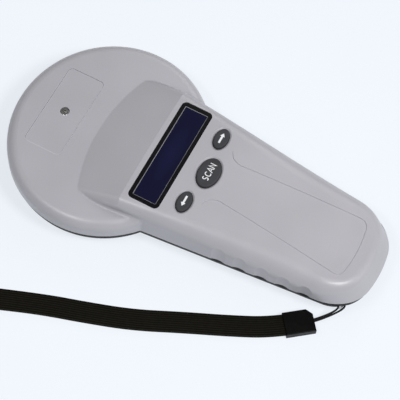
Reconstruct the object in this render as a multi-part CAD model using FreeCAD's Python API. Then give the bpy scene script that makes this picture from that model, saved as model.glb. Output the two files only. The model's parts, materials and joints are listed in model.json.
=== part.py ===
import FreeCAD, Part
import os
from math import atan2, cos, degrees, hypot, pi, radians, sin, sqrt, tan

# Hand-held microchip scanner: a round antenna head on a tapered handle.
# Millimetres. Origin on the resting surface under the centre of the head,
# +X along the handle towards its end, +Z up, -Y is the wrist strap's side.

V = FreeCAD.Vector
UP = V(0, 0, 1)

# ---- casing ----------------------------------------------------------
HEAD_RX = 60.6             # half length of the oval head
HEAD_RY = 64.2             # half width of the oval head
END_X = 181.5              # tip of the handle
HALF_WIDTH_0 = 47.3        # handle's half width, carried back to the head's centre
TAPER = 0.0881             # narrowing of each side per millimetre of length
END_R = 76.0               # bow of the handle's end
END_CORNER_R = 24.0
BASE_Z = 0.0               # underside of the lower shell, which lies on the table
SPLIT_Z = 16.0             # parting line between the two shells
HEAD_TOP_Z = 28.0
DECK_Z = 37.4              # highest line of the deck
DECK_X = 41.4              # where the deck is level
DECK_R = 900.0             # radius of the deck's long arc
SIDE_DRAFT = tan(radians(3.0))
END_DRAFT = tan(radians(33.0))
RAMP_FOOT_X = -6.3         # ramp's foot on the head's top, on the centre line
RAMP_FOOT_SAG = 10.5       # bow of that foot across RAMP_HALF
RAMP_HALF = 45.0
RAMP_TOP_X = 28.0          # straight ridge where the ramp meets the deck
WALL = 2.4
HEAD_RIM_R = 6.5
CREASE_R = 2.0
DECK_EDGE_R = (6.5, 11.0, 7.0)   # deck's edge at the ridge, at the corners and at the end
LOWER_STEP = 0.6           # lower shell's rim stands back from the upper shell's
BELLY_R = 15.2             # rounding of the lower shell
GAP = 0.15                 # fitting gap between neighbouring parts

# ---- display and keys -------------------------------------------------
WINDOW_X = DECK_X
WINDOW_SIZE = (20.0, 72.4)
WINDOW_R = 3.2
BEZEL_DEPTH = 1.6
BEZEL_TOP = DECK_Z - 0.25
LENS_SIZE = (15.2, 67.0)
KEYS = {"scan_key": (66.8, 0.0, 6.7, 10.3),
        "up_key": (62.8, 23.7, 4.3, 7.1),
        "down_key": (62.8, -23.7, 4.3, 7.1)}
KEY_GAP = 0.25
KEY_RISE = 1.1
KEY_TRAVEL = 1.0
DISH = 1.1                 # width of the sloping rim around a key
DISH_DEPTH = 0.8
FLANGE_Z = 33.2            # underside of a key's holding flange
FLANGE = 1.3

# ---- head cover ---------------------------------------------------------
COVER_X = -30.6
COVER_SIZE = (24.1, 56.7)
COVER_R = 3.0
COVER_T = 1.5
COVER_SINK = 0.35
COVER_LEDGE = 2.4
SCREW_HEAD_R = 2.6
SCREW_HOLE_R = 2.9

# ---- grip panel and finger dimples --------------------------------------
PANEL_X0 = 81.0
PANEL_X1 = 163.2
PANEL_HALF_0 = 13.5
PANEL_HALF_1 = 20.2
GROOVE_W = 0.8
GROOVE_D = 0.4
DIMPLES = 5
DIMPLE_X0 = 94.6
DIMPLE_PITCH = 13.5
DIMPLE_R = 12.0
DIMPLE_DEPTH = 0.8

# ---- inside ---------------------------------------------------------------
BOARD_Z = 26.0
BOARD_T = 1.6
BOARD_X = (50.0, 108.0)
BOARD_HALF = 25.0
BOBBIN_R = 49.0
BOBBIN_Z = (8.6, 24.0)
BATTERY = (48.5, 26.5, 17.5)
BATTERY_X = 116.0
BATTERY_Z = 5.6
DOOR_X = 110.0
DOOR_HALF = 15.0
DOOR_TOP = 11.0
DOOR_STEP_X = 164.2        # beyond this the door is wider, so that its tongues can slide out
DOOR_LIP = 1.8
CASE_SCREWS = [(-10.0, 42.0), (-10.0, -42.0), (82.0, 29.0), (82.0, -29.0),
               (152.0, 22.0), (152.0, -22.0)]
SCREW_SEAT_Z = 5.0
BOARD_SCREWS = [(80.0, 20.0), (80.0, -20.0), (104.0, 20.0), (104.0, -20.0)]

# ---- wrist strap ------------------------------------------------------------
POST_TURN = -54.0          # where the string's pin stands, seen from the corner's centre
POST_R = 1.25
POST_Z = (6.5, 14.5)
POCKET_Z = (8.2, 13.0)
POCKET_HALF = 4.2
POCKET_DEPTH = 5.6
STRING_D = 1.2
STRING_Z = 10.6
STRAP_W = 12.8
STRAP_T = 1.5
STRAP_GAP = 0.05
CLIP_SIZE = (17.8, 14.4, 5.0)
CLIP_NOSE = (158.8, -40.3)
CLIP_TURN = 38.0           # degrees from +X, pointing towards the nose
CLIP_FLOOR = 0.85          # wall of the clip under the webbing
CLIP_BORE_Z = 2.5
CLIP_STOP = 7.4             # end of the webbing's cavity, behind the nose
# Centre line of the webbing, from inside the clip to where it folds back.
STRAP_ROUTE = [(152.9, -44.9), (138.8, -55.9), (117.0, -66.3), (91.5, -77.7),
               (65.0, -90.3), (38.5, -99.3), (14.0, -106.8), (-13.0, -117.3)]
# The fold at the far end: distance past the last point above, and height.
FOLD_ROUTE = [(0.0, 0.80), (19.0, 0.80), (27.0, 5.0), (26.0, 12.0), (18.5, 12.6),
              (10.5, 6.0), (5.0, 2.35), (0.0, 2.35)]


def save(name, *solids):
    shape = solids[0] if len(solids) == 1 else Part.makeCompound(list(solids))
    shape.exportStep(f"parts/{name}.step")
    box = shape.optimalBoundingBox(False, False)
    print(f"{name:18s} solids {len(shape.Solids):2d} volume {shape.Volume:10.1f} "
          f"z {box.ZMin:6.2f} {box.ZMax:6.2f} valid {shape.isValid()}")


# ---- plain shapes -------------------------------------------------------------
def block(x0, x1, y0, y1, z0, z1):
    return Part.makeBox(x1 - x0, y1 - y0, z1 - z0, V(x0, y0, z0))


def rod(x, y, z0, z1, r):
    return Part.makeCylinder(r, z1 - z0, V(x, y, z0))


def tube_ring(x, y, z0, z1, r_in, r_out):
    return rod(x, y, z0, z1, r_out).cut(rod(x, y, z0 - 1, z1 + 1, r_in))


def rounded_plate(x, y, size, r, z0, z1):
    plate = block(x - size[0] / 2, x + size[0] / 2, y - size[1] / 2, y + size[1] / 2, z0, z1)
    return plate.makeFillet(r, upright_edges(plate))


def oval_face(x, y, z, ax, ay):
    """Flat oval with half sizes ax and ay."""
    if ax >= ay:
        oval = Part.Ellipse(V(x + ax, y, z), V(x, y + ay, z), V(x, y, z))
    else:
        oval = Part.Ellipse(V(x, y + ay, z), V(x - ax, y, z), V(x, y, z))
    return Part.Face(Part.Wire(oval.toShape()))


def oval(x, y, ax, ay, z0, z1):
    return oval_face(x, y, z0, ax, ay).extrude(V(0, 0, z1 - z0))


def oval_cone(x, y, low, high, z0, z1):
    """Sloping oval ring's inside, from half sizes low at z0 to high at z1."""
    wires = [oval_face(x, y, z, *half).OuterWire for z, half in ((z0, low), (z1, high))]
    return Part.makeLoft(wires, True, True)


def polygon(points):
    return Part.Face(Part.makePolygon(points + [points[0]]))


def upright_edges(solid):
    """Edges that join one level to another."""
    return [e for e in solid.Edges if e.BoundBox.ZLength > 0.5 * solid.BoundBox.ZLength
            and hypot(e.BoundBox.XLength, e.BoundBox.YLength) < e.BoundBox.ZLength]


def edges_at_z(solid, z, tol=0.01):
    return [e for e in solid.Edges
            if abs(e.BoundBox.ZMin - z) < tol and abs(e.BoundBox.ZMax - z) < tol]


# ---- casing blocks -----------------------------------------------------------
def half_width(x):
    return HALF_WIDTH_0 - TAPER * x


def deck_height(x):
    return DECK_Z - (x - DECK_X) ** 2 / (2 * DECK_R)


def wedge_wire(x0, x1, inset, z):
    slope = sqrt(1 + TAPER ** 2)
    a = half_width(x0) - inset * slope
    b = half_width(x1) - inset * slope
    return Part.makePolygon([V(x0, -a, z), V(x1, -b, z), V(x1, b, z), V(x0, a, z), V(x0, -a, z)])


def deck_side_profile(drop, z0):
    """Everything under the deck's long arc, lowered by drop."""
    xs = (-90.0, DECK_X + 5, 200.0)
    tops = [V(x, -80, deck_height(x) - drop) for x in xs]
    edges = [Part.Arc(*tops).toShape(),
             Part.LineSegment(tops[2], V(200, -80, z0)).toShape(),
             Part.LineSegment(V(200, -80, z0), V(-90, -80, z0)).toShape(),
             Part.LineSegment(V(-90, -80, z0), tops[0]).toShape()]
    return Part.Face(Part.Wire(edges)).extrude(V(0, 160, 0))


def ramp_wire(z, shift):
    """Section at height z of the body behind the ramp, moved back by shift."""
    share = (z - HEAD_TOP_Z) / (deck_height(RAMP_TOP_X) - HEAD_TOP_Z)
    foot = RAMP_FOOT_X + (RAMP_TOP_X - RAMP_FOOT_X) * share + shift
    reach = 60.0
    sag = RAMP_FOOT_SAG * (1 - share) * (reach / RAMP_HALF) ** 2
    a, m, b = V(foot + sag, -reach, z), V(foot, 0, z), V(foot + sag, reach, z)
    far_a, far_b = V(230, -reach, z), V(230, reach, z)
    return Part.Wire([Part.Arc(a, m, b).toShape(), Part.LineSegment(b, far_b).toShape(),
                      Part.LineSegment(far_b, far_a).toShape(), Part.LineSegment(far_a, a).toShape()])


def raised_body(inset, z0):
    """Ramp, deck and handle above the parting line, all faces moved in by inset."""
    z1 = 46.0
    rise = z1 - SPLIT_Z
    low = SPLIT_Z - z0
    body = Part.makeLoft([wedge_wire(-60, 190, inset - low * SIDE_DRAFT, z0),
                          wedge_wire(-60, 190, inset + rise * SIDE_DRAFT, z1)], True, True)
    middle = V(END_X - END_R, 0, z0)
    cone = Part.makeCone(END_R - inset + low * END_DRAFT, END_R - inset - rise * END_DRAFT,
                         z1 - z0, middle)
    cone.rotate(middle, UP, 180)
    keep = cone.fuse(block(-60, END_X - END_R, -70, 70, z0, z1))
    body = body.common(keep)
    corners = [e for e in body.Edges if e.BoundBox.ZLength > 0.9 * (z1 - z0)
               and e.BoundBox.XMin > 150]
    body = body.makeFillet(END_CORNER_R - inset, corners)
    body = body.common(deck_side_profile(inset, z0 - 1))
    slope = (deck_height(RAMP_TOP_X) - HEAD_TOP_Z) / (RAMP_TOP_X - RAMP_FOOT_X)
    shift = inset * sqrt(1 + slope ** 2) / slope
    ramp = Part.makeLoft([ramp_wire(z0 - 2, shift), ramp_wire(z1, shift)], True, True)
    body = body.common(ramp)
    body = body.removeSplitter()
    return round_each(body, [(i, *[deck_edge_radius(p) - inset for p in end_points(e)])
                             for i, e in enumerate(body.Edges, 1) if is_rim_edge(e, z0)])


def end_points(edge):
    return edge.valueAt(edge.FirstParameter), edge.valueAt(edge.LastParameter)


def deck_edge_radius(p):
    """The edge is tight at the ridge, softest where the side meets the corner, then tighter."""
    ridge, corner, end = DECK_EDGE_R
    if p.x <= RAMP_TOP_X + 2:
        return ridge
    return corner if p.x < END_X - END_CORNER_R + 8 else end


def round_each(solid, picks):
    """Round edges with a radius that changes along each: (edge number, first, last)."""
    doc = FreeCAD.newDocument("rounding")
    base = doc.addObject("Part::Feature", "base")
    base.Shape = solid
    rounded = doc.addObject("Part::Fillet", "rounded")
    rounded.Base = base
    rounded.Edges = picks
    doc.recompute()
    result = rounded.Shape.copy()
    FreeCAD.closeDocument(doc.Name)
    return result


def is_rim_edge(edge, z0):
    """True for the convex edges around the deck and down both sides of the ramp."""
    middle = middle_of(edge)
    if middle.z < z0 + 0.5:
        return False
    ridge = abs(middle.y) < 1 and middle.x < RAMP_TOP_X + 15
    upright = edge.BoundBox.ZLength > 0.8 * (middle.z - z0) and middle.x > 120
    return not ridge and not upright


def head_oval(inset, z0):
    return oval(0, 0, HEAD_RX - inset, HEAD_RY - inset, z0, HEAD_TOP_Z - inset)


def wedge_on_head(inset, z0):
    """The raised body without the part of it that lies deep inside the head."""
    return raised_body(inset, z0).cut(block(-90, 10, -70, 70, z0 - 1, 24 - inset))


def middle_of(edge):
    return edge.valueAt((edge.FirstParameter + edge.LastParameter) / 2)


def upper_block():
    """Outside of the upper shell, with a soft crease where the wedge meets the head."""
    body = head_oval(0, SPLIT_Z).fuse(wedge_on_head(0, SPLIT_Z)).removeSplitter()
    creases = []
    for edge in body.Edges:
        m = middle_of(edge)
        out = hypot(m.x / HEAD_RX, m.y / HEAD_RY)
        flat = edge.BoundBox.ZLength < 0.1
        on_top = flat and abs(m.z - HEAD_TOP_Z) < 0.05 and out < 0.98
        notch = not flat and 40 < m.x < 50 and abs(abs(m.y) - 44) < 2 and m.z < HEAD_TOP_Z
        if on_top or notch:
            creases.append(edge)
    body = body.makeFillet(CREASE_R, creases)
    rim = [e for e in edges_at_z(body, HEAD_TOP_Z, 0.05)
           if hypot(middle_of(e).x / HEAD_RX, middle_of(e).y / HEAD_RY) > 0.98]
    return body.makeFillet(HEAD_RIM_R, rim)


def cut_upper_cavity(shell):
    """Hollow the upper shell, first the head and then the wedge and handle."""
    z0 = SPLIT_Z - 1
    head = head_oval(WALL, z0)
    head = head.makeFillet(HEAD_RIM_R - WALL, edges_at_z(head, HEAD_TOP_Z - WALL))
    return shell.cut(head).cut(wedge_on_head(WALL, z0))


def outline_solid(inset, z0, z1):
    """Plan outline of the lower shell's head and handle, as an upright prism."""
    inset += LOWER_STEP
    wedge = Part.Face(wedge_wire(0, 190, inset, z0)).extrude(V(0, 0, z1 - z0))
    end = rod(END_X - END_R, 0, z0, z1, END_R - inset)
    end.rotate(V(END_X - END_R, 0, z0), UP, 180)
    end = end.fuse(block(0, END_X - END_R, -70, 70, z0, z1))
    wedge = wedge.common(end)
    corners = [e for e in wedge.Edges if e.BoundBox.ZLength > 1 and e.BoundBox.XMin > 150]
    wedge = wedge.makeFillet(END_CORNER_R - inset, corners)
    return oval(0, 0, HEAD_RX - inset, HEAD_RY - inset, z0, z1).fuse(wedge).removeSplitter()


def lower_block(inset, z1=SPLIT_Z):
    body = outline_solid(inset, BASE_Z + inset, z1)
    return body.makeFillet(BELLY_R - inset, edges_at_z(body, BASE_Z + inset))


def dimple_tools():
    """Upright drums whose sides press the finger dimples into both flanks."""
    lean = degrees(atan2(SIDE_DRAFT, 1))
    tools = []
    for side in (-1, 1):
        for i in range(DIMPLES):
            x = DIMPLE_X0 + i * DIMPLE_PITCH
            y = side * (half_width(x) - DIMPLE_DEPTH + DIMPLE_R)
            drum = Part.makeCylinder(DIMPLE_R, 60, V(x, y, -10))
            drum.rotate(V(x, y, SPLIT_Z), V(1, 0, 0), side * lean)
            tools.append(drum)
    return tools


# ---- cut-outs in the upper shell ---------------------------------------------
def groove_tool():
    """Band along the grip panel's outline, open towards the keys."""
    flare = 9.0
    corner = 6.0
    slope = (PANEL_HALF_1 - PANEL_HALF_0) / (PANEL_X1 - PANEL_X0)
    pts = {}
    for s in (-1, 1):
        pts[s] = [V(PANEL_X0 - flare, s * (PANEL_HALF_0 + flare * 0.85), 0),
                  V(PANEL_X0 - flare * 0.62, s * (PANEL_HALF_0 + 1.9), 0),
                  V(PANEL_X0 + 2, s * (PANEL_HALF_0 + 2 * slope), 0),
                  V(PANEL_X1 - corner, s * (PANEL_HALF_1 - corner * slope), 0),
                  V(PANEL_X1 - 1.7, s * (PANEL_HALF_1 - 2.0), 0),
                  V(PANEL_X1, s * (PANEL_HALF_1 - corner - 0.5), 0)]
    bow = V(PANEL_X1 + 1.2, 0, 0)
    edges = [Part.LineSegment(pts[-1][0], pts[1][0]).toShape()]
    edges += half_outline(pts[1])
    edges += [Part.Arc(pts[1][5], bow, pts[-1][5]).toShape()]
    edges += half_outline(pts[-1])
    wire = Part.Wire(Part.__sortEdges__(edges))
    face = Part.Face(wire)
    wide = face.makeOffset2D(GROOVE_W / 2).extrude(V(0, 0, 60))
    slim = face.makeOffset2D(-GROOVE_W / 2).extrude(V(0, 0, 60))
    band = wide.cut(slim)
    band = band.cut(block(0, PANEL_X0 - flare + 0.6, -60, 60, -1, 61))
    return band.cut(deck_side_profile(GROOVE_D, -2))


def half_outline(p):
    return [Part.Arc(p[0], p[1], p[2]).toShape(), Part.LineSegment(p[2], p[3]).toShape(),
            Part.Arc(p[3], p[4], p[5]).toShape()]


def cut_display(shell):
    x = WINDOW_X
    floor = BEZEL_TOP - BEZEL_DEPTH
    size = [s + 2 * GAP for s in WINDOW_SIZE]
    shell = shell.cut(rounded_plate(x, 0, size, WINDOW_R, floor, 60))
    return shell.cut(rounded_plate(x, 0, [s + 1 for s in LENS_SIZE], 1.0, 30, 60))


def cut_keys(shell):
    for x, y, ax, ay in KEYS.values():
        z = deck_height(x)
        shell = shell.cut(oval(x, y, ax + KEY_GAP, ay + KEY_GAP, 30, 60))
        low = (ax + KEY_GAP, ay + KEY_GAP)
        high = (low[0] + 2 * DISH, low[1] + 2 * DISH)
        shell = shell.cut(oval_cone(x, y, low, high, z - DISH_DEPTH, z + DISH_DEPTH))
    return shell


def cut_cover_seat(shell):
    top = HEAD_TOP_Z
    size = [s + 2 * GAP for s in COVER_SIZE]
    shell = shell.cut(rounded_plate(COVER_X, 0, size, COVER_R + GAP, top - COVER_SINK - COVER_T, 60))
    hole = [s - 2 * COVER_LEDGE for s in COVER_SIZE]
    return shell.cut(rounded_plate(COVER_X, 0, hole, 1.5, 20, 60))


def post_up(x, y, z0, r, pilot, outer):
    """Screw boss hanging from the upper shell's ceiling down to z0."""
    return rod(x, y, z0, 60, r).common(outer).cut(rod(x, y, z0 - 1, z0 + 9, pilot))


# ---- shells ---------------------------------------------------------------------
def make_upper_shell():
    body = upper_block()
    for tool in dimple_tools():
        body = body.cut(tool)
    shell = cut_upper_cavity(body)
    for x, y in CASE_SCREWS:
        shell = shell.fuse(post_up(x, y, SPLIT_Z, 3.4, 1.5, body))
    for x, y in BOARD_SCREWS:
        shell = shell.fuse(post_up(x, y, BOARD_Z + BOARD_T, 2.6, 1.1, body))
    shell = cut_display(shell)
    shell = cut_keys(shell)
    shell = cut_cover_seat(shell)
    return shell.cut(groove_tool())


def screw_seat(x, y):
    """Counterbore and clearance hole of one case screw."""
    return rod(x, y, -1, SCREW_SEAT_Z, 3.2).fuse(rod(x, y, -1, 20, 1.6))


def make_lower_shell():
    outer = lower_block(0)
    shell = outer.cut(lower_block(WALL, SPLIT_Z + 1))
    posts = [rod(x, y, BASE_Z, SPLIT_Z, 4.4) for x, y in CASE_SCREWS]
    posts += [rod(COVER_X, 0, BASE_Z, 24.5, 4.0), rod(COVER_X, 17, BASE_Z, 20, 3.0)]
    for turn in (45, 135, 225, 315):
        a = radians(turn)
        posts.append(rod(52 * cos(a), 52 * sin(a), BASE_Z, BOBBIN_Z[0], 2.5))
    rib_x = (BATTERY_X - 1.8, BATTERY_X + BATTERY[0] + 1.0)
    rib_y = BATTERY[1] / 2 + 0.4
    for side in (-1, 1):
        y = sorted((side * (DOOR_HALF + 2.0), side * (DOOR_HALF + 3.6)))
        posts.append(block(rib_x[0], rib_x[1], *y, BASE_Z, SPLIT_Z))
        y = sorted((side * rib_y, side * (DOOR_HALF + 3.0)))
        posts.append(block(rib_x[1] - 2.2, rib_x[1] - 0.6, *y, 12, SPLIT_Z))
    post = post_frame()[0]
    posts.append(rod(post.x, post.y, BASE_Z, SPLIT_Z, 7.5))
    posts.append(block(DOOR_X - 3.6, DOOR_X - 2.0, -DOOR_HALF - 2, DOOR_HALF + 2, BASE_Z, 12))
    limits = lower_block(0).fuse(block(-60, 100, -60, 60, SPLIT_Z - 1, 30))
    for post in posts:
        shell = shell.fuse(post.common(limits))
    for x, y in CASE_SCREWS:
        shell = shell.cut(screw_seat(x, y))
    shell = shell.cut(rod(COVER_X, 0, 12, 30, 1.4))
    for tool in dimple_tools():
        shell = shell.cut(tool)
    return cut_strap_pocket(shell.cut(door_space(0)))


def door_space(gap):
    """Room of the battery door, shrunk by a fitting gap."""
    wide = DOOR_HALF + DOOR_LIP - gap
    narrow = DOOR_HALF - gap
    low = BASE_Z - 1
    high = DOOR_TOP - gap
    space = block(DOOR_X + gap, 200, -narrow, narrow, low, high)
    return space.fuse(block(DOOR_STEP_X + gap, 200, -wide, wide, low, high))


def corner_centre():
    """Centre of the rounded corner between the handle's -Y side and its end."""
    slope = sqrt(1 + TAPER ** 2)
    x = END_X - END_CORNER_R
    for _ in range(20):
        y = half_width(x) - END_CORNER_R * slope
        x = END_X - END_R + sqrt((END_R - END_CORNER_R) ** 2 - y ** 2)
    return V(x, -y, 0)


def post_frame():
    """Place of the string's pin, the way out of its pocket and the way along the wall."""
    a = radians(POST_TURN)
    out = V(cos(a), sin(a), 0)
    along = V(-sin(a), cos(a), 0)
    return corner_centre() + out * (END_CORNER_R - LOWER_STEP - POST_R - 0.3), out, along


def cut_strap_pocket(shell):
    post, out, along = post_frame()
    inner = post + out * (POST_R + 0.3 - POCKET_DEPTH)
    outer = post + out * 8
    mouth = [inner + along * POCKET_HALF, inner - along * POCKET_HALF,
             outer - along * POCKET_HALF, outer + along * POCKET_HALF]
    low, high = POCKET_Z
    tool = polygon([p + V(0, 0, low) for p in mouth]).extrude(V(0, 0, high - low))
    return shell.cut(tool).cut(rod(post.x, post.y, *POST_Z, POST_R + 0.02))


def make_battery_door():
    shell = lower_block(0).cut(lower_block(WALL, SPLIT_Z + 1))
    door = shell.common(door_space(GAP))
    floor = BASE_Z + WALL
    for side in (-1, 1):
        for reach, low in ((1.5, floor + GAP), (-0.3, floor - 0.5)):
            y = sorted((side * (DOOR_HALF - 1.5), side * (DOOR_HALF + reach)))
            door = door.fuse(block(DOOR_X + 3, DOOR_STEP_X + 1, *y, low, floor + 1.2))
    for i in range(5):
        x = DOOR_X + 8 + 3 * i
        door = door.cut(block(x, x + 1.4, -9, 9, BASE_Z - 1, BASE_Z + 0.8))
    return door.removeSplitter()


# ---- display ------------------------------------------------------------------
def make_display():
    x = WINDOW_X
    floor = BEZEL_TOP - BEZEL_DEPTH
    bezel = rounded_plate(x, 0, WINDOW_SIZE, WINDOW_R, floor, BEZEL_TOP)
    top_edges = edges_at_z(bezel, BEZEL_TOP)
    bezel = bezel.makeFillet(0.4, top_edges)
    bezel = bezel.cut(rounded_plate(x, 0, LENS_SIZE, 0.6, floor - 1, BEZEL_TOP + 1))
    save("display_bezel", bezel)
    lens = [s - 0.06 for s in LENS_SIZE]
    save("display_lens", rounded_plate(x, 0, lens, 0.6, floor, BEZEL_TOP - 0.35))
    z = floor - 2.3
    frame = block(x - 12, x + 12, -35, 35, z - 3.0, z)
    frame = frame.cut(block(x - 11.3, x + 11.3, -34.3, 34.3, z - 3.1, z - 0.5))
    frame = frame.cut(block(x - 8, x + 8, -33, 33, z - 4, z + 1))
    save("lcd_frame", frame)
    save("lcd_glass", block(x - 11.2, x + 11.2, -34.2, 34.2, z - 2.9, z - 0.55))
    save("lcd_board", block(x - 13.5, x + 13, -36, 36, z - 4.6, z - 3.05))
    board_top = BOARD_Z + BOARD_T
    save("lcd_header", block(BOARD_X[0] + 0.5, x + 12.8, -20, 20, board_top, z - 4.6))


# ---- keypad --------------------------------------------------------------------
def make_keys():
    board_top = BOARD_Z + BOARD_T
    mat = block(55, 77, -33, 33, FLANGE_Z - 2.2, FLANGE_Z - KEY_TRAVEL - 0.15)
    domes = []
    for name, (x, y, ax, ay) in KEYS.items():
        top = deck_height(x) + KEY_RISE
        key = oval(x, y, ax, ay, FLANGE_Z, top)
        key = key.makeFillet(0.9, edges_at_z(key, top))
        flange = oval(x, y, ax + FLANGE, ay + FLANGE, FLANGE_Z, FLANGE_Z + 0.9)
        plunger = rod(x, y, board_top + 0.7 + KEY_TRAVEL, FLANGE_Z + 0.5, 2.2)
        save(name, key.fuse([flange, plunger]).removeSplitter())
        mat = mat.cut(rod(x, y, 20, 50, 2.5))
        domes.append(rod(x, y, board_top, board_top + 0.6, 2.8))
    save("keypad_mat", mat)
    save("key_domes", *domes)


# ---- electronics ------------------------------------------------------------------
def make_electronics():
    z0, z1 = BOARD_Z, BOARD_Z + BOARD_T
    board = block(BOARD_X[0], BOARD_X[1], -BOARD_HALF, BOARD_HALF, z0, z1)
    for x, y in BOARD_SCREWS:
        board = board.cut(rod(x, y, z0 - 1, z1 + 1, 1.3))
    save("main_board", board)
    screws = []
    for x, y in BOARD_SCREWS:
        screws.append(rod(x, y, z0 - 1.4, z0, 2.2).fuse(rod(x, y, z0 - 0.5, z1 + 4, 1.0)))
    save("board_screws", *screws)
    chips = [block(84, 96, -6, 6, z0 - 1.6, z0), block(64, 72, -14, -6, z0 - 1.4, z0),
             block(64, 70, 8, 18, z0 - 1.4, z0), block(86, 92, 12, 20, z1, z1 + 1.5)]
    save("board_chips", *chips)
    save("buzzer", rod(94, -16, z0 - 6, z0, 6).cut(rod(94, -16, z0 - 7, z0 - 5, 1.2)))
    save("battery_socket", block(101, 107, -5, 5, z0 - 5, z0))
    save("antenna_socket", block(58, 63, 6, 14, z0 - 5, z0))
    low, high = BOBBIN_Z
    bobbin = tube_ring(0, 0, low, high, BOBBIN_R, BOBBIN_R + 6)
    bobbin = bobbin.cut(tube_ring(0, 0, low + 1.8, high - 1.8, BOBBIN_R + 1.8, BOBBIN_R + 7))
    save("antenna_bobbin", bobbin)
    coil = tube_ring(0, 0, low + 1.9, high - 1.9, BOBBIN_R + 1.9, BOBBIN_R + 5.2)
    save("antenna_coil", coil)
    save("tuning_board", block(COVER_X - 8, COVER_X + 8, 9, 25, 20, 21.4))
    trimmer = rod(COVER_X, 17, 21.4, 24.0, 3.0)
    save("tuning_trimmer", trimmer.cut(block(COVER_X - 2.4, COVER_X + 2.4, 16.6, 17.4, 23.2, 25)))


def make_battery():
    length, width, height = BATTERY
    x0, x1 = BATTERY_X, BATTERY_X + length - 2
    z1 = BATTERY_Z + height
    case = block(x0, x1, -width / 2, width / 2, BATTERY_Z, z1)
    case = case.makeFillet(2.2, [e for e in case.Edges if e.BoundBox.XLength > 20])
    save("battery", case)
    mid = (BATTERY_Z + z1) / 2
    save("battery_snap", block(x0 - 3.0, x0, -12.5, 12.5, mid - 5.5, mid + 5.5))
    save("battery_pad", block(x0 + 6, x1 - 6, -10, 10, BASE_Z + WALL + 0.1, BATTERY_Z))


# ---- wires and cords ------------------------------------------------------------------
def rounded_path(points, share=0.45):
    """Straight runs joined by tangent arcs, each as large as its two runs allow."""
    edges = []
    radii = []
    start = points[0]
    for before, here, after in zip(points, points[1:], points[2:]):
        u = (here - before)
        v = (after - here)
        run = min(u.Length, v.Length)
        u.normalize()
        v.normalize()
        turn = u.getAngle(v)
        setback = share * run
        radius = setback / tan(turn / 2)
        a = here - u * setback
        b = here + v * setback
        inward = (v - u).normalize()
        middle = here + inward * (setback / sin(turn / 2) * (1 / cos(turn / 2) - 1) * cos(turn / 2))
        edges.append(Part.LineSegment(start, a).toShape())
        edges.append(Part.Arc(a, middle, b).toShape())
        radii.append(round(radius, 1))
        start = b
    edges.append(Part.LineSegment(start, points[-1]).toShape())
    return Part.Wire(edges), radii


def tube(points, diameter):
    path, radii = rounded_path(points)
    tangent = points[1] - points[0]
    ring = Part.Wire(Part.makeCircle(diameter / 2, points[0], tangent))
    solid = path.makePipeShell([ring], True, False)
    expect = pi * diameter ** 2 / 4 * path.Length
    print(f"  tube length {path.Length:.1f} volume ratio {solid.Volume / expect:.3f} radii {radii}")
    return solid


def band(points, level=True):
    """Flat webbing swept along a route; a level band keeps its width horizontal."""
    path, radii = rounded_path(points)
    tangent = (points[1] - points[0]).normalize()
    across = UP.cross(tangent).normalize() * (STRAP_W / 2)
    thick = tangent.cross(across).normalize() * (STRAP_T / 2)
    p = points[0]
    corners = [p + across + thick, p - across + thick, p - across - thick, p + across - thick]
    sweep = Part.BRepOffsetAPI.MakePipeShell(path)
    if level:
        sweep.setBiNormalMode(UP)
    sweep.add(Part.makePolygon(corners + [corners[0]]))
    sweep.build()
    sweep.makeSolid()
    solid = sweep.shape()
    expect = STRAP_W * STRAP_T * path.Length
    print(f"  band length {path.Length:.1f} volume ratio {solid.Volume / expect:.3f} radii {radii}")
    return solid


def make_leads():
    mid = BATTERY_Z + BATTERY[2] / 2
    top = BOARD_Z - 5
    solids = []
    for y in (-2.0, 2.0):
        route = [V(BATTERY_X - 3.0, y, mid), V(107, y, mid), V(104, y, mid + 3.0), V(104, y, top)]
        solids.append(tube(route, 1.2))
    save("battery_leads", *solids)
    solids = []
    for y in (8.5, 11.5):
        x = sqrt((BOBBIN_R + 5.2) ** 2 - y ** 2) - 0.5
        solids.append(tube([V(x, y, 15), V(60.5, y, 15), V(60.5, y, top)], 1.0))
    save("antenna_leads", *solids)


# ---- strap ---------------------------------------------------------------------------
def clip_frame():
    a = radians(CLIP_TURN)
    return V(CLIP_NOSE[0], CLIP_NOSE[1], 0), V(cos(a), sin(a), 0), V(-sin(a), cos(a), 0)


def clip_block(x0, x1, half, z0, z1, chamfer=0):
    """Block in the clip's own directions, x measured back from its nose."""
    nose, along, across = clip_frame()
    corners = [(x0, half - chamfer), (x0, -half), (x1, -half), (x1, half)]
    if chamfer:
        corners.append((x0 + chamfer, half))
    points = [nose - along * x + across * y + V(0, 0, z0) for x, y in corners]
    return polygon(points).extrude(V(0, 0, z1 - z0))


def make_clip():
    length, width, height = CLIP_SIZE
    clip = clip_block(0, length, width / 2, 0.02, height, 3.5)
    clip = clip.makeFillet(0.5, edges_at_z(clip, height))
    room = 2 * STRAP_T + 3 * STRAP_GAP
    clip = clip.cut(clip_block(CLIP_STOP, length + 1, STRAP_W / 2 + 0.1,
                              CLIP_FLOOR, CLIP_FLOOR + room))
    nose, along, across = clip_frame()
    start = nose + along + V(0, 0, CLIP_BORE_Z)
    save("strap_clip", clip.cut(Part.makeCylinder(1.4, 8, start, along * -1)))


def string_route():
    """Out of the clip, round behind the pin and back into the clip."""
    nose, along, across = clip_frame()
    post, out, wall = post_frame()
    lift = V(0, 0, CLIP_BORE_Z)
    top = V(0, 0, STRING_Z)
    wide = POST_R + STRING_D / 2 + 0.1
    near = [nose - along * 4 - across * 0.65 + lift, nose + along * 1.5 - across * 0.65 + lift]
    far = [nose + along * 1.5 + across * 0.65 + lift, nose - along * 4 + across * 0.65 + lift]
    loop = [post - wall * wide + out * 2.6, post - wall * wide - out * wide,
            post + wall * wide - out * wide, post + wall * wide + out * 2.6]
    return far[::-1] + [p + top for p in loop] + near[::-1]


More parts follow.
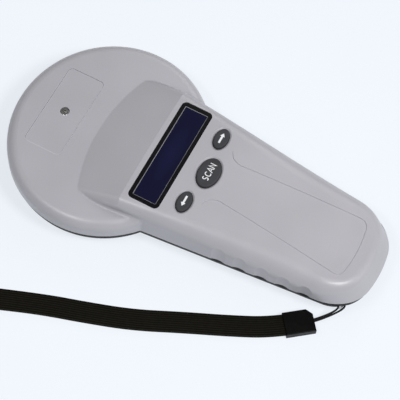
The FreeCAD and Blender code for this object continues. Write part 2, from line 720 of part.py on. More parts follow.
def strap_points(level):
    """Centre line of one layer of webbing, level 0 below and 1 above."""
    rest = STRAP_GAP + STRAP_T / 2 + level * (STRAP_T + STRAP_GAP)
    heights = [rest + CLIP_FLOOR, rest + CLIP_FLOOR] + [rest] * (len(STRAP_ROUTE) - 2)
    return [V(x, y, z) for (x, y), z in zip(STRAP_ROUTE, heights)]


def fold_points():
    a, b = (V(*p, 0) for p in STRAP_ROUTE[-2:])
    onward = (b - a).normalize()
    return [b + onward * s + V(0, 0, z) for s, z in FOLD_ROUTE]


def make_strap():
    post = post_frame()[0]
    save("strap_post", rod(post.x, post.y, *POST_Z, POST_R))
    make_clip()
    save("strap_string", tube(string_route(), STRING_D))
    save("strap_lower", band(strap_points(0)))
    save("strap_upper", band(strap_points(1)))
    save("strap_fold", band(fold_points(), False))


def make_fasteners():
    screws = []
    for x, y in CASE_SCREWS:
        z = SCREW_SEAT_Z
        screw = rod(x, y, z - 2.0, z - 0.02, 2.9).fuse(rod(x, y, z - 0.5, 24.0, 1.45))
        for sx, sy in ((1.8, 0.4), (0.4, 1.8)):
            screw = screw.cut(block(x - sx, x + sx, y - sy, y + sy, 0, z - 1.0))
        screws.append(screw)
    save("case_screws", *screws)


def make_cover():
    top = HEAD_TOP_Z - COVER_SINK
    cover = rounded_plate(COVER_X, 0, COVER_SIZE, COVER_R, top - COVER_T, top)
    cover = cover.fuse(rod(COVER_X, 0, top - COVER_T - 1.5, top - 0.5, 4.6))
    cover = cover.cut(rod(COVER_X, 0, top - 2.4, top + 1, SCREW_HOLE_R))
    cover = cover.cut(rod(COVER_X, 0, 20, top + 1, 1.6))
    save("access_cover", cover)
    head = rod(COVER_X, 0, top - 2.38, top - 0.7, SCREW_HEAD_R)
    head = head.makeFillet(0.5, edges_at_z(head, top - 0.7))
    screw = head.fuse(rod(COVER_X, 0, 14, top - 2.0, 1.35))
    for sx, sy in ((1.6, 0.3), (0.3, 1.6)):
        screw = screw.cut(block(COVER_X - sx, COVER_X + sx, -sy, sy, top - 1.7, top))
    save("cover_screw", screw)


def main():
    os.makedirs("parts", exist_ok=True)
    save("upper_shell", make_upper_shell())
    save("lower_shell", make_lower_shell())
    save("battery_door", make_battery_door())
    make_display()
    make_keys()
    make_electronics()
    make_battery()
    make_leads()
    make_fasteners()
    make_cover()
    make_strap()


main()
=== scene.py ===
"""Hand-held microchip scanner: looks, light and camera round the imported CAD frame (metres)."""
import json
import math

import bmesh
import bpy
from mathutils import Matrix, Vector

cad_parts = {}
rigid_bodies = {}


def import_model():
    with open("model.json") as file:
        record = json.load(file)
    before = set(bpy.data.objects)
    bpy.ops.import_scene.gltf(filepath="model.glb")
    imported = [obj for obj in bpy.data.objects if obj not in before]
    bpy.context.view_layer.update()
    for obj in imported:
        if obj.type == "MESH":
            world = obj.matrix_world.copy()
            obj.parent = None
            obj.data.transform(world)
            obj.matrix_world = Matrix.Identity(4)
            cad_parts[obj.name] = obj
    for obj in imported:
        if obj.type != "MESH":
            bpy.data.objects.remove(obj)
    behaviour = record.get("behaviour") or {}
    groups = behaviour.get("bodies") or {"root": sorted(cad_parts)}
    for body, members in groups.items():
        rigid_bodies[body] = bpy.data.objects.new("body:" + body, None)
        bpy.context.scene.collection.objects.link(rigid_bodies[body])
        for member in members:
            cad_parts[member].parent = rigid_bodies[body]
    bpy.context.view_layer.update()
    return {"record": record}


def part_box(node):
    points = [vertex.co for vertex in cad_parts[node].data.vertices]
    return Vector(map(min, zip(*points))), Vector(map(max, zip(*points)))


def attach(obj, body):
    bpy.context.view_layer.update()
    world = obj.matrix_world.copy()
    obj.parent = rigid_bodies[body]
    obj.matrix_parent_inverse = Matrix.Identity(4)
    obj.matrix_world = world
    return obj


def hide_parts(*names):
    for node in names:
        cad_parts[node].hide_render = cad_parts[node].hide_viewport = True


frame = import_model()

MM = 0.001

# ---- view --------------------------------------------------------------------
CAMERA_AZIMUTH = 21.93
CAMERA_ELEVATION = 63.45
CAMERA_ROLL = 6.15
CAMERA_TARGET = (66.39, -8.51, 16.0)
CAMERA_DISTANCE = 919.0
LENS = 138.5

# ---- light: place, width and depth (m) and power (W) of each soft lamp -------
LIGHTS = {"key_light": ((0.96, -0.18, 1.40), (0.45, 0.45), 17.3),
          "edge_light": ((-0.16, -0.42, 0.93), (0.45, 0.10), 2.7),
          "rim_light": ((-0.62, -0.30, 0.72), (0.35, 0.35), 0.3),
          "back_light": ((0.0, 0.85, 0.75), (0.7, 0.7), 2.2),
          "end_light": ((0.9, 0.2, 0.4), (0.5, 0.5), 1.1)}
WORLD_STRENGTH = 0.08
BACKDROP = (0.70, 0.735, 0.78)

# ---- wrist strap: the same routes as the CAD's, in millimetres ---------------
STRAP_W = 12.8
STRAP_T = 1.5
STRAP_GAP = 0.05
CLIP_FLOOR = 0.85
STRAP_ROUTE = [(152.9, -44.9), (138.8, -55.9), (117.0, -66.3), (91.5, -77.7),
               (65.0, -90.3), (38.5, -99.3), (14.0, -106.8), (-13.0, -117.3)]
FOLD_ROUTE = [(0.0, 0.80), (19.0, 0.80), (27.0, 5.0), (26.0, 12.0), (18.5, 12.6),
              (10.5, 6.0), (5.0, 2.35), (0.0, 2.35)]
STRING_D = 1.2
STRING_Z = 10.6
CLIP_NOSE = (158.8, -40.3)
CLIP_TURN = 38.0
CLIP_BORE_Z = 2.5
POST_TURN = -54.0
POST_R = 1.25
STRAND_HALF = 0.65     # half the distance between the string's two strands at the clip
BORE_DEPTH = 4.0       # how far the string runs into the clip
NOSE_REACH = 1.5       # and how far straight out of it
POST_REACH = 2.6       # from the pin's centre to where the strands part towards the clip
POST_CLEARANCE = 0.1   # between the string and the pin it loops round

# ---- the strap's surface and how finely it is drawn, lengths in millimetres --
SPLINE_STEPS = 16
WEBBING_STEP = 0.8
RIBS = 9
RIB_STEPS = 6
RIB_DIP = 0.09
SELVEDGE = 0.9         # how far a rounded edge reaches in, in half thicknesses
EDGE_STEPS = 8
STRING_STEP = 0.35
STRING_PITCH = 3.2
STRING_SIDES = 18
STRANDS = 3
STRAND_VALLEY = 0.93   # the string's reach between two strands, in its radii
STRAND_CREST = 0.09    # and how much further a strand's crest reaches

# ---- moulded plastic: grain, drift of tone, edges paler from wear and painted highlight, painted shade in creases (mm) ------
MOULD_GRAIN = 0.005
TONE_DRIFT = 0.04
WEAR_HIGHLIGHT_REACH = 0.6
WEAR_HIGHLIGHT_TONE = 1.4
CREASE_REACH = 5.0

# ---- display edge and printed legends, in millimetres unless noted -----------
WINDOW_EDGE = ((0.0, 0.0), (0.0, 0.14), (0.12, 0.16), (0.3, 0.02))   # inset, lift
INK_LIFT = 0.02
INK_DEPTH = 0.05                 # thickness of the printed word
ARROW_INK = (-0.05, 0.03)        # an arrow's underside and face, from the lift
ARROW = (7.1, 2.3, 1.45, 0.62)   # length, head's length and half width, shaft's half width
WORD_HEIGHT = 3.7
WORD_GAP = 0.17                  # between letters, in letter heights
WORD_STROKE = 0.148              # in letter heights
MITRE_LIMIT = 0.45               # a corner sharper than this is not drawn out further

# ---- stage -------------------------------------------------------------------
FLOOR_MARKS = (-40.0, -0.6, 0.6, 40.0)   # the floor's grid lines, in metres
FLOOR_DROP = 0.1                         # the floor lies this far under the base (mm)
LAMP_AIM = (0.06, 0.0, 0.0)


# ---- small helpers -----------------------------------------------------------
def middle(node):
    low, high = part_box(node)
    return (Vector(low) + Vector(high)) / 2


def top_of(node):
    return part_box(node)[1][2]


def add_object(name, data, body="casing"):
    obj = bpy.data.objects.new(name, data)
    bpy.context.scene.collection.objects.link(obj)
    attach(obj, body)
    return obj


def mesh_object(name, verts, faces, body="casing", smooth=True):
    mesh = bpy.data.meshes.new(name)
    mesh.from_pydata([tuple(v) for v in verts], [], faces)
    mesh.validate()
    mesh.update()
    for polygon in mesh.polygons:
        polygon.use_smooth = smooth
    return add_object(name, mesh, body)


def route_line(name, points):
    """Points read from the smooth spline that has the route's points as its controls."""
    curve = bpy.data.curves.new(name, "CURVE")
    curve.dimensions = "3D"
    spline = curve.splines.new("NURBS")
    spline.points.add(len(points) - 1)
    for control, p in zip(spline.points, points):
        control.co = (p[0] * MM, p[1] * MM, p[2] * MM, 1)
    spline.order_u = 3
    spline.use_endpoint_u = True
    spline.resolution_u = SPLINE_STEPS
    carrier = bpy.data.objects.new(name, curve)
    mesh = bpy.data.meshes.new_from_object(carrier)
    line = [v.co.copy() for v in mesh.vertices]
    bpy.data.objects.remove(carrier)
    bpy.data.meshes.remove(mesh)
    bpy.data.curves.remove(curve)
    return line


def even_points(line, step):
    """The same line with its points one step apart."""
    total = length_of(line)
    count = max(2, round(total / step))
    marks = [total * i / count for i in range(count + 1)]
    result = []
    run = 0.0
    index = 0
    for mark in marks:
        while index < len(line) - 2 and run + (line[index + 1] - line[index]).length < mark:
            run += (line[index + 1] - line[index]).length
            index += 1
        part = (line[index + 1] - line[index]).length
        share = min(1.0, (mark - run) / part)
        result.append(line[index].lerp(line[index + 1], share))
    return result


def length_of(line):
    return sum((b - a).length for a, b in zip(line, line[1:]))


def carried_frames(line):
    """Tangent, level side and up direction along a line, turned as little as possible."""
    frames = []
    side = None
    for i, p in enumerate(line):
        ahead = line[min(i + 1, len(line) - 1)]
        behind = line[max(i - 1, 0)]
        tangent = (ahead - behind).normalized()
        if side is None:
            side = Vector((0, 0, 1)).cross(tangent)
        side = (side - tangent * side.dot(tangent)).normalized()
        frames.append((p, tangent, side, tangent.cross(side)))
    return frames


def swept(name, frames, profile):
    """Closed mesh of a section along a line; profile(i) gives (side, up) pairs at ring i."""
    verts = []
    for i, (p, _, side, up) in enumerate(frames):
        verts += [p + side * a + up * b for a, b in profile(i)]
    n = len(profile(0))
    faces = []
    for i in range(len(frames) - 1):
        for k in range(n):
            j = (k + 1) % n
            faces.append((i * n + k, i * n + j, (i + 1) * n + j, (i + 1) * n + k))
    faces.append(tuple(range(n - 1, -1, -1)))
    faces.append(tuple((len(frames) - 1) * n + k for k in range(n)))
    obj = mesh_object(name, verts, faces)
    layer = obj.data.uv_layers.new(name="along")
    stations = [0.0]
    for a, b in zip(frames, frames[1:]):
        stations.append(stations[-1] + (b[0] - a[0]).length)
    across = [a for a, _ in profile(0)]
    for polygon in obj.data.polygons:
        for loop in polygon.loop_indices:
            v = obj.data.loops[loop].vertex_index
            layer.data[loop].uv = (stations[v // n] / MM, across[v % n] / MM)
    return obj


# ---- camera ------------------------------------------------------------------
def make_camera():
    a, e = math.radians(CAMERA_AZIMUTH), math.radians(CAMERA_ELEVATION)
    back = Vector((math.sin(a) * math.cos(e), -math.cos(a) * math.cos(e), math.sin(e)))
    camera = bpy.data.objects.new("camera", bpy.data.cameras.new("camera"))
    bpy.context.scene.collection.objects.link(camera)
    camera.location = (Vector(CAMERA_TARGET) + back * CAMERA_DISTANCE) * MM
    turn = (-back).to_track_quat("-Z", "Y").to_matrix().to_4x4()
    roll = Matrix.Rotation(math.radians(CAMERA_ROLL), 4, "Z")
    camera.matrix_world = Matrix.Translation(camera.location) @ turn @ roll
    camera.data.lens = LENS
    camera.data.sensor_width = 36.0
    camera.data.clip_start = 0.01
    camera.data.clip_end = 20.0
    bpy.context.scene.camera = camera


# ---- wrist strap -------------------------------------------------------------
def strap_points(level):
    rest = STRAP_GAP + STRAP_T / 2 + level * (STRAP_T + STRAP_GAP)
    heights = [rest + CLIP_FLOOR] * 2 + [rest] * (len(STRAP_ROUTE) - 2)
    return [(x, y, z) for (x, y), z in zip(STRAP_ROUTE, heights)]


def fold_points():
    (ax, ay), (bx, by) = STRAP_ROUTE[-2:]
    run = math.hypot(bx - ax, by - ay)
    ux, uy = (bx - ax) / run, (by - ay) / run
    return [(bx + ux * s, by + uy * s, z) for s, z in FOLD_ROUTE]


def webbing_profile():
    """Section of ribbed webbing: rounded selvedges and shallow ribs that run lengthwise."""
    half_w, half_t = STRAP_W / 2 * MM, STRAP_T / 2 * MM
    flat = half_w - half_t * SELVEDGE
    steps = RIBS * RIB_STEPS
    top = []
    for k in range(steps + 1):
        a = flat - 2 * flat * k / steps
        dip = RIB_DIP * MM * (1 - abs(math.cos(math.pi * RIBS * k / steps)))
        top.append((a, half_t - dip))
    edge = [(-flat - math.sin(t) * (half_w - flat), math.cos(t) * half_t)
            for t in (math.pi * q / EDGE_STEPS for q in range(1, EDGE_STEPS))]
    bottom = [(-a, -b) for a, b in top]
    other = [(-a, -b) for a, b in edge]
    return top + edge + bottom + other


def make_webbing(name, points, nodes):
    line = even_points(route_line(name, points), WEBBING_STEP * MM)
    section = webbing_profile()
    strap = swept(name, carried_frames(line), lambda i: section)
    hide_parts(*nodes)
    return strap


def string_route():
    a = math.radians(CLIP_TURN)
    nose = Vector((*CLIP_NOSE, 0))
    along = Vector((math.cos(a), math.sin(a), 0))
    across = Vector((-math.sin(a), math.cos(a), 0))
    b = math.radians(POST_TURN)
    out = Vector((math.cos(b), math.sin(b), 0))
    wall = Vector((-math.sin(b), math.cos(b), 0))
    post = middle("strap_post") / MM
    post.z = 0
    lift = Vector((0, 0, CLIP_BORE_Z))
    top = Vector((0, 0, STRING_Z))
    wide = POST_R + STRING_D / 2 + POST_CLEARANCE
    near = [nose - along * BORE_DEPTH - across * STRAND_HALF + lift,
            nose + along * NOSE_REACH - across * STRAND_HALF + lift]
    far = [nose + along * NOSE_REACH + across * STRAND_HALF + lift,
           nose - along * BORE_DEPTH + across * STRAND_HALF + lift]
    loop = [post - wall * wide + out * POST_REACH, post - wall * wide - out * wide,
            post + wall * wide - out * wide, post + wall * wide + out * POST_REACH]
    return far[::-1] + [p + top for p in loop] + near[::-1]


def make_string():
    """Thin laid cord: three strands show as lobes that turn along its length."""
    line = even_points(route_line("strap_string_cord", string_route()), STRING_STEP * MM)
    r = STRING_D / 2 * MM

    def profile(i):
        turn = 2 * math.pi * i * STRING_STEP / STRING_PITCH
        ring = []
        for k in range(STRING_SIDES):
            t = 2 * math.pi * k / STRING_SIDES
            crest = abs(math.cos(STRANDS / 2 * (t - turn)))
            reach = r * (STRAND_VALLEY + STRAND_CREST * crest)
            ring.append((math.cos(t) * reach, math.sin(t) * reach))
        return ring

    cord = swept("strap_string_cord", carried_frames(line), profile)
    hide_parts("strap_string")
    return cord


# ---- materials ---------------------------------------------------------------
class Shader:
    """A node material under construction: a principled shader with coordinates to hand.

    Texture scales are per metre, or per millimetre on the strap's own UV.
    """

    def __init__(self, name, rough=0.5, metallic=0.0, specular=0.5, uv=False):
        self.material = bpy.data.materials.new(name)
        self.material.use_nodes = True
        self.nodes = self.material.node_tree.nodes
        self.links = self.material.node_tree.links
        self.surface = self.nodes["Principled BSDF"]
        self.surface.inputs["Roughness"].default_value = rough
        self.surface.inputs["Metallic"].default_value = metallic
        self.surface.inputs["Specular IOR Level"].default_value = specular
        source = self.nodes.new("ShaderNodeTexCoord")
        self.place = source.outputs["UV" if uv else "Object"]

    def link(self, output, node, name):
        self.links.new(output, node.inputs[name])

    def stretched(self, x, y, z):
        node = self.nodes.new("ShaderNodeMapping")
        node.inputs["Scale"].default_value = (x, y, z)
        self.link(self.place, node, "Vector")
        return node.outputs["Vector"]

    def noise(self, scale, detail=3.0, rough=0.5, place=None):
        node = self.nodes.new("ShaderNodeTexNoise")
        node.inputs["Scale"].default_value = scale
        node.inputs["Detail"].default_value = detail
        node.inputs["Roughness"].default_value = rough
        self.link(place or self.place, node, "Vector")
        return node.outputs["Fac"]

    def cells(self, scale):
        node = self.nodes.new("ShaderNodeTexVoronoi")
        node.inputs["Scale"].default_value = scale
        self.link(self.place, node, "Vector")
        return node.outputs["Distance"]

    def wave(self, scale, direction, distortion=0.0):
        node = self.nodes.new("ShaderNodeTexWave")
        node.bands_direction = direction
        node.inputs["Scale"].default_value = scale
        node.inputs["Distortion"].default_value = distortion
        self.link(self.place, node, "Vector")
        return node.outputs["Fac"]

    def math(self, operation, a, b):
        node = self.nodes.new("ShaderNodeMath")
        node.operation = operation
        for socket, value in zip(node.inputs, (a, b)):
            if isinstance(value, (int, float)):
                socket.default_value = value
            else:
                self.links.new(value, socket)
        return node.outputs[0]

    def ramp(self, fac, stops):
        node = self.nodes.new("ShaderNodeValToRGB")
        elements = node.color_ramp.elements
        while len(elements) < len(stops):
            elements.new(0.5)
        for element, (at, colour) in zip(elements, stops):
            element.position = at
            element.color = (*colour, 1)
        self.link(fac, node, "Fac")
        return node.outputs["Color"]

    def colour(self, output):
        self.link(output, self.surface, "Base Color")

    def roughness(self, output, low, high):
        node = self.nodes.new("ShaderNodeMapRange")
        node.inputs["To Min"].default_value = low
        node.inputs["To Max"].default_value = high
        self.link(output, node, "Value")
        self.link(node.outputs["Result"], self.surface, "Roughness")

    def bump(self, height, distance, strength=1.0):
        node = self.nodes.new("ShaderNodeBump")
        node.inputs["Distance"].default_value = distance
        node.inputs["Strength"].default_value = strength
        self.link(height, node, "Height")
        self.link(node.outputs["Normal"], self.surface, "Normal")

    def edges(self, radius):
        """1 on sharp outer and inner edges, 0 on open surfaces, read from a rounded normal."""
        bevel = self.nodes.new("ShaderNodeBevel")
        bevel.samples = 12
        bevel.inputs["Radius"].default_value = radius
        geometry = self.nodes.new("ShaderNodeNewGeometry")
        dot = self.nodes.new("ShaderNodeVectorMath")
        dot.operation = "DOT_PRODUCT"
        self.link(bevel.outputs["Normal"], dot, 0)
        self.link(geometry.outputs["Normal"], dot, 1)
        return self.math("MULTIPLY", self.math("SUBTRACT", 1.0, dot.outputs["Value"]), 4.0)

    def crevices(self, reach):
        """1 in the open, lower in grooves and inner corners of the same piece."""
        node = self.nodes.new("ShaderNodeAmbientOcclusion")
        node.samples = 8
        node.only_local = True
        node.inputs["Distance"].default_value = reach
        return node.outputs["AO"]

    def mixed(self, fac, first, second, way="MIX"):
        node = self.nodes.new("ShaderNodeMix")
        node.data_type = "RGBA"
        node.blend_type = way
        node.clamp_factor = True
        for socket, value in zip((node.inputs[0], node.inputs[6], node.inputs[7]),
                                 (fac, first, second)):
            if isinstance(value, (int, float)):
                socket.default_value = value
            elif isinstance(value, tuple):
                socket.default_value = (*value, 1)
            else:
                self.links.new(value, socket)
        return node.outputs[2]


def shade(colour, factor):
    return tuple(min(1.0, c * factor) for c in colour)


def moulded_plastic(name, colour, rough, wear_and_painted_light=False, specular=0.5):
    """Satin moulding: a fine spark-eroded grain, slow drift of tone, faint handling marks.

    When asked for, it is paler along its edges, partly from wear and partly as a painted
    highlight, and a little darker down in its creases, which is painted shade.
    """
    s = Shader(name, rough, specular=specular)
    tone = s.ramp(s.noise(22.0, 2.0), [(0.3, shade(colour, 1 - TONE_DRIFT)),
                                       (0.7, shade(colour, 1 + TONE_DRIFT))])
    if wear_and_painted_light:
        # paler edges: partly wear, partly a painted highlight along every outer and inner edge
        tone = s.mixed(s.edges(WEAR_HIGHLIGHT_REACH * MM), tone, shade(colour, WEAR_HIGHLIGHT_TONE))
        # painted shade: colour darkened in grooves and inner corners, where shade falls
        painted_crease_shade = s.ramp(s.crevices(CREASE_REACH * MM), [(0.3, (0.9, 0.9, 0.91)),
                                                         (0.75, (0.86, 0.86, 0.88)),
                                                         (0.97, (1, 1, 1))])
        tone = s.mixed(1.0, tone, painted_crease_shade, "MULTIPLY")
    s.colour(tone)
    s.bump(s.noise(2600.0, 3.0, 0.6), MOULD_GRAIN * MM, 0.4)
    s.roughness(s.noise(140.0, 4.0), rough - 0.06, rough + 0.08)
    return s.material


def gloss_plastic(name, colour, rough=0.12, specular=0.5):
    """Polished plastic with a faint waviness and dust-fine mottling."""
    s = Shader(name, rough, specular=specular)
    s.colour(s.ramp(s.noise(60.0), [(0.35, shade(colour, 0.85)), (0.65, shade(colour, 1.15))]))
    s.bump(s.noise(180.0, 2.0), 0.006 * MM, 0.4)
    s.roughness(s.noise(400.0, 4.0), rough * 0.7, rough * 1.6)
    return s.material


def rubber(name, colour, rough=0.6):
    """Matte silicone: velvety grain and a slightly paler bloom in patches."""
    s = Shader(name, rough, specular=0.2)
    s.colour(s.ramp(s.noise(90.0, 4.0), [(0.3, shade(colour, 0.88)), (0.72, shade(colour, 1.14))]))
    s.bump(s.noise(3200.0, 2.0), 0.02 * MM, 0.7)
    s.roughness(s.noise(300.0), rough - 0.05, rough + 0.1)
    return s.material


def webbing(name, colour):
    """Nylon webbing: weft picks cross the lengthwise ribs, with a low sheen."""
    s = Shader(name, 0.8, specular=0.08, uv=True)
    picks = s.wave(0.55, "X")
    strands = s.wave(0.23, "Y", distortion=0.3)
    weave = s.math("MULTIPLY", s.math("ADD", s.math("MULTIPLY", picks, 0.4), 0.6), strands)
    tone = s.math("ADD", s.math("MULTIPLY", weave, 0.7),
                  s.math("MULTIPLY", s.noise(0.35, 5.0), 0.4))
    s.colour(s.ramp(tone, [(0.25, shade(colour, 0.4)), (0.9, shade(colour, 2.6))]))
    s.bump(weave, 0.12 * MM, 0.9)
    s.surface.inputs["Sheen Weight"].default_value = 0.02
    s.surface.inputs["Sheen Roughness"].default_value = 0.5
    return s.material


def laid_cord(name, colour):
    """Thin cord: fine yarns laid at a slant."""
    s = Shader(name, 0.7, specular=0.3, uv=True)
    slant = s.wave(2.4, "DIAGONAL")
    s.colour(s.ramp(slant, [(0.2, shade(colour, 0.5)), (0.8, shade(colour, 1.6))]))
    s.bump(slant, 0.05 * MM, 0.8)
    return s.material


def plated_steel(name, colour, rough=0.32):
    """Zinc-plated steel with fine turning marks."""
    s = Shader(name, rough, metallic=1.0)
    s.colour(s.ramp(s.noise(500.0, 4.0), [(0.3, shade(colour, 0.8)), (0.7, shade(colour, 1.1))]))
    s.bump(s.noise(1800.0, 3.0, place=s.stretched(1, 1, 5)), 0.01 * MM, 0.5)
    s.roughness(s.noise(700.0), rough - 0.08, rough + 0.12)
    return s.material


def circuit_board(name):
    """Green solder mask over pale traces and pads."""
    s = Shader(name, 0.3)
    traces = s.cells(260.0)
    s.colour(s.ramp(traces, [(0.08, (0.55, 0.48, 0.2)), (0.12, (0.04, 0.2, 0.09)),
                             (0.5, (0.02, 0.13, 0.06)), (0.8, (0.03, 0.17, 0.08))]))
    s.bump(traces, 0.03 * MM, 0.5)
    return s.material


def copper_winding(name):
    """Enamelled wire laid in close turns."""
    s = Shader(name, 0.3, metallic=0.85)
    turns = s.wave(330.0, "Z")
    s.colour(s.ramp(turns, [(0.1, (0.12, 0.035, 0.012)), (0.7, (0.72, 0.27, 0.1))]))
    s.bump(turns, 0.15 * MM, 0.8)
    return s.material


def foam(name, colour):
    s = Shader(name, 0.95, specular=0.1)
    pores = s.cells(1500.0)
    s.colour(s.ramp(pores, [(0.1, shade(colour, 0.3)), (0.6, shade(colour, 1.3))]))
    s.bump(pores, 0.25 * MM, 1.0)
    return s.material


def display_window(name, rim, heart):
    """Clear window over a blank panel: dark blue, a little bluer towards its middle."""
    s = Shader(name, 0.13, specular=0.16)
    low, high = (Vector(p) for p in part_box("display_lens"))
    centre = (low + high) / 2
    shift = s.nodes.new("ShaderNodeVectorMath")
    shift.operation = "SUBTRACT"
    s.link(s.place, shift, 0)
    shift.inputs[1].default_value = centre
    size = high - low
    scale = s.nodes.new("ShaderNodeVectorMath")
    scale.operation = "MULTIPLY"
    s.links.new(shift.outputs[0], scale.inputs[0])
    scale.inputs[1].default_value = (2 / size.x, 2 / size.y, 0)
    reach = s.nodes.new("ShaderNodeVectorMath")
    reach.operation = "LENGTH"
    s.links.new(scale.outputs[0], reach.inputs[0])
    patch = s.math("ADD", reach.outputs["Value"], s.math("MULTIPLY", s.noise(45.0), 0.5))
    s.colour(s.ramp(patch, [(0.3, heart), (1.0, rim)]))
    s.roughness(s.noise(300.0), 0.09, 0.16)
    return s.material


def printed_ink(name, colour):
    s = Shader(name, 0.55)
    s.colour(s.ramp(s.noise(1500.0), [(0.3, shade(colour, 0.93)), (0.6, colour)]))
    s.bump(s.noise(2500.0), 0.01 * MM, 0.4)
    return s.material


def lit_floor(name, colour, glow):
    """Translucent table lit from below, so that shadows on it stay faint.

    It is clear from underneath, so that the object's base can be seen from there.
    """
    s = Shader(name, 0.9, specular=0.0)
    geometry = s.nodes.new("ShaderNodeNewGeometry")
    s.link(s.math("SUBTRACT", 1.0, geometry.outputs["Backfacing"]), s.surface, "Alpha")
    s.colour(s.ramp(s.noise(9.0), [(0.3, shade(colour, 0.98)), (0.7, shade(colour, 1.02))]))
    s.surface.inputs["Emission Color"].default_value = (*glow, 1)
    s.surface.inputs["Emission Strength"].default_value = 1.0
    return s.material


def wrapped_label(name, colour, band):
    """Battery can: plain dark wrap with one plain metallic band towards its end."""
    s = Shader(name, 0.35, metallic=0.3)
    low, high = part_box("battery")
    split = s.nodes.new("ShaderNodeSeparateXYZ")
    s.link(s.place, split, "Vector")
    share = s.math("DIVIDE", s.math("SUBTRACT", split.outputs["X"], low[0]), high[0] - low[0])
    s.colour(s.ramp(share, [(0.0, colour), (0.68, colour), (0.7, band), (1.0, band)]))
    s.bump(s.noise(900.0), 0.01 * MM, 0.3)
    return s.material


def make_materials():
    grey = (0.437, 0.430, 0.463)
    return {
        "casing": moulded_plastic("casing_grey", grey, 0.33, wear_and_painted_light=True),
        "base": moulded_plastic("casing_dark", (0.012, 0.012, 0.013), 0.55, wear_and_painted_light=True,
                                specular=0.14),
        "bezel": gloss_plastic("bezel_black", (0.004, 0.004, 0.005), 0.3, 0.18),
        "lens": display_window("window_blue", (0.0085, 0.009, 0.030), (0.011, 0.0115, 0.042)),
        "key_rubber": rubber("key_rubber", (0.047, 0.048, 0.053)),
        "lcd_metal": plated_steel("display_frame_steel", (0.6, 0.61, 0.62)),
        "lcd_panel": gloss_plastic("display_glass", (0.1, 0.14, 0.1)),
        "circuit_board": circuit_board("circuit_board_green"),
        "component": moulded_plastic("component_black", (0.02, 0.02, 0.02), 0.45),
        "screw_steel": plated_steel("screw_zinc", (0.45, 0.45, 0.44)),
        "pin_steel": plated_steel("pin_steel", (0.55, 0.55, 0.56)),
        "bobbin_plastic": moulded_plastic("bobbin_nylon", (0.6, 0.55, 0.44), 0.5),
        "copper": copper_winding("copper_winding"),
        "battery_can": wrapped_label("battery_wrap", (0.02, 0.022, 0.026), (0.5, 0.32, 0.14)),
        "foam": foam("foam_black", (0.06, 0.06, 0.065)),
        "wire": rubber("wire_vinyl", (0.22, 0.02, 0.02), 0.4),
        "clip_plastic": gloss_plastic("clip_black", (0.0034, 0.0032, 0.0030), 0.34, 0.11),
        "webbing": webbing("webbing_black", (0.0052, 0.0048, 0.0029)),
        "cord": laid_cord("string_black", (0.008, 0.008, 0.008)),
        "ink": printed_ink("legend_white", (0.86, 0.87, 0.9)),
        # pale grey window edge: a painted highlight along the window's chamfer
        "window_edge": gloss_plastic("window_edge_painted_highlight", (0.3, 0.3, 0.32), 0.3),
        "floor": lit_floor("floor_pale", (0.19, 0.2, 0.21), BACKDROP),
    }


def give(obj, material):
    obj.data.materials.clear()
    obj.data.materials.append(material)


def dress_nodes(materials):
    """Every CAD node takes the material of its slot."""
    for part in frame["record"]["subparts"]:
        obj = bpy.data.objects[part["node"]]
        for slot in obj.material_slots:
            slot.material = materials[part["material_slot"]]


# ---- display and keys --------------------------------------------------------
def make_window_edge(materials):
    """Thin bevelled edge of the display's window, a step inside the bezel, coloured pale grey as a
    painted highlight along the window's chamfer.
    """
    low, high = (Vector(p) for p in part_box("display_lens"))
    verts = []
    for inset, lift in WINDOW_EDGE:
        d = inset * MM
        for x, y in ((low.x + d, low.y + d), (high.x - d, low.y + d),
                     (high.x - d, high.y - d), (low.x + d, high.y - d)):
            verts.append((x, y, high.z + lift * MM))
    faces = []
    rings = len(WINDOW_EDGE)
    for r in range(rings):
        here, there = r * 4, (r + 1) % rings * 4
        faces += [(here + k, here + (k + 1) % 4, there + (k + 1) % 4, there + k)
                  for k in range(4)]
    edge = mesh_object("window_edge", verts, faces, smooth=False)
    give(edge, materials["window_edge"])


def arrow_outline(length, head, head_half, shaft_half):
    tip = length / 2
    return [(tip, 0), (tip - head, head_half), (tip - head, shaft_half), (-tip, shaft_half),
            (-tip, -shaft_half), (tip - head, -shaft_half), (tip - head, -head_half)]


def make_arrow(name, node, way, materials):
    """Printed arrow on a key, pointing along Y."""
    centre = middle(node)
    z = top_of(node) + INK_LIFT * MM
    outline = [(centre.x + side * MM, centre.y + way * along * MM)
               for along, side in arrow_outline(*ARROW)]
    n = len(outline)
    verts = [(x, y, z + lift * MM) for lift in ARROW_INK for x, y in outline]
    faces = [tuple(range(n, 2 * n)), tuple(range(n - 1, -1, -1))]
    faces += [(k, (k + 1) % n, n + (k + 1) % n, n + k) for k in range(n)]
    arrow = mesh_object(name, verts, faces, node, smooth=False)
    bm = bmesh.new()
    bm.from_mesh(arrow.data)
    bmesh.ops.recalc_face_normals(bm, faces=bm.faces)
    bmesh.ops.triangulate(bm, faces=bm.faces)
    bm.to_mesh(arrow.data)
    bm.free()
    give(arrow, materials["ink"])


def stroke_paths():
    """Plain upright capitals on a grid one unit high: each stroke is a list of points."""
    def bow(cx, cy, r, start, end, steps=10, squeeze=0.85):
        return [(cx + squeeze * r * math.cos(math.radians(start + (end - start) * k / steps)),
                 cy + r * math.sin(math.radians(start + (end - start) * k / steps)))
                for k in range(steps + 1)]

    s = bow(0.32, 0.74, 0.24, 35, 260) + bow(0.32, 0.26, 0.24, 90, -145)
    c = bow(0.38, 0.5, 0.48, 42, 318, 18, 0.72)
    a = [[(0.0, 0.0), (0.36, 1.0), (0.72, 0.0)], [(0.14, 0.34), (0.58, 0.34)]]
    n = [(0.0, 0.0), (0.0, 1.0), (0.58, 0.0), (0.58, 1.0)]
    return [([s], 0.64), ([c], 0.7), (a, 0.72), ([n], 0.58)]


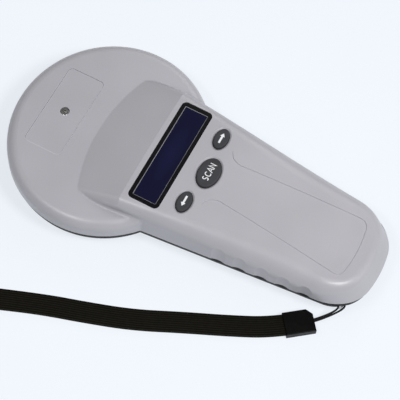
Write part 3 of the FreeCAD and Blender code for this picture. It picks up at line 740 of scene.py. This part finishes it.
def ribbon(points, width):
    """Flat outline strip along a polyline, with mitred corners."""
    left, right = [], []
    for i, p in enumerate(points):
        before = points[max(i - 1, 0)]
        after = points[min(i + 1, len(points) - 1)]
        u = (Vector(p) - Vector(before)).normalized() if i else None
        v = (Vector(after) - Vector(p)).normalized() if i < len(points) - 1 else None
        u = u or v
        v = v or u
        mean = (u + v).normalized()
        normal = Vector((-mean.y, mean.x))
        reach = width / 2 / max(MITRE_LIMIT, mean.dot(u))
        left.append(Vector(p) + normal * reach)
        right.append(Vector(p) - normal * reach)
    return left, right


def make_key_word(materials):
    """The large key's function word in plain printed strokes, read along +Y."""
    centre = middle("scan_key")
    z = top_of("scan_key") + INK_LIFT * MM
    letters = stroke_paths()
    total = sum(width for _, width in letters) + WORD_GAP * (len(letters) - 1)
    verts, faces = [], []
    at = -total / 2
    for strokes, width in letters:
        for stroke in strokes:
            left, right = ribbon([Vector((x + at, y - 0.5)) for x, y in stroke], WORD_STROKE)
            base = len(verts)
            for a, b in zip(left, right):
                for p in (a, b):
                    verts.append((centre.x - p.y * WORD_HEIGHT * MM,
                                  centre.y + p.x * WORD_HEIGHT * MM, z))
            faces += [(base + 2 * k, base + 2 * k + 1, base + 2 * k + 3, base + 2 * k + 2)
                      for k in range(len(left) - 1)]
        at += width + WORD_GAP
    word = mesh_object("scan_key_word", verts, faces, "scan_key", smooth=False)
    solid = word.modifiers.new("ink_depth", "SOLIDIFY")
    solid.thickness = INK_DEPTH * MM
    solid.offset = 0.0
    give(word, materials["ink"])


# ---- stage -------------------------------------------------------------------
def make_floor(materials):
    mesh = bpy.data.meshes.new("floor")
    n = len(FLOOR_MARKS)
    verts = [(x, y, -FLOOR_DROP * MM) for y in FLOOR_MARKS for x in FLOOR_MARKS]
    faces = [(k, k + 1, k + n + 1, k + n)
             for k in (row * n + column for row in range(n - 1) for column in range(n - 1))]
    mesh.from_pydata(verts, [], faces)
    floor = bpy.data.objects.new("floor", mesh)
    bpy.context.scene.collection.objects.link(floor)
    give(floor, materials["floor"])


def add_lamp(name, place, size, power):
    light = bpy.data.lights.new(name, "AREA")
    light.shape = "ELLIPSE"
    light.size, light.size_y = size
    light.energy = power
    obj = bpy.data.objects.new(name, light)
    bpy.context.scene.collection.objects.link(obj)
    obj.location = place
    obj.rotation_mode = "QUATERNION"
    obj.rotation_quaternion = (Vector(LAMP_AIM) - Vector(place)).to_track_quat("-Z", "Y")


def make_light():
    world = bpy.data.worlds.new("studio")
    bpy.context.scene.world = world
    world.use_nodes = True
    nodes, links = world.node_tree.nodes, world.node_tree.links
    sight = nodes.new("ShaderNodeLightPath")
    tone = nodes.new("ShaderNodeMix")
    tone.data_type = "RGBA"
    tone.inputs[6].default_value = (WORLD_STRENGTH, WORLD_STRENGTH, WORLD_STRENGTH, 1)
    tone.inputs[7].default_value = (*BACKDROP, 1)
    links.new(sight.outputs["Is Camera Ray"], tone.inputs[0])
    links.new(tone.outputs[2], nodes["Background"].inputs["Color"])
    for name, (place, size, power) in LIGHTS.items():
        add_lamp(name, place, size, power)
    bpy.context.scene.view_settings.view_transform = "Standard"


make_camera()
MATERIALS = make_materials()
lower_run = make_webbing("strap_lower_run", strap_points(0) + fold_points()[1:],
                         ["strap_lower", "strap_fold"])
upper_run = make_webbing("strap_upper_run", strap_points(1), ["strap_upper"])
give(lower_run, MATERIALS["webbing"])
give(upper_run, MATERIALS["webbing"])
give(make_string(), MATERIALS["cord"])
dress_nodes(MATERIALS)
make_window_edge(MATERIALS)
make_arrow("up_key_arrow", "up_key", 1, MATERIALS)
make_arrow("down_key_arrow", "down_key", -1, MATERIALS)
make_key_word(MATERIALS)
make_floor(MATERIALS)
make_light()
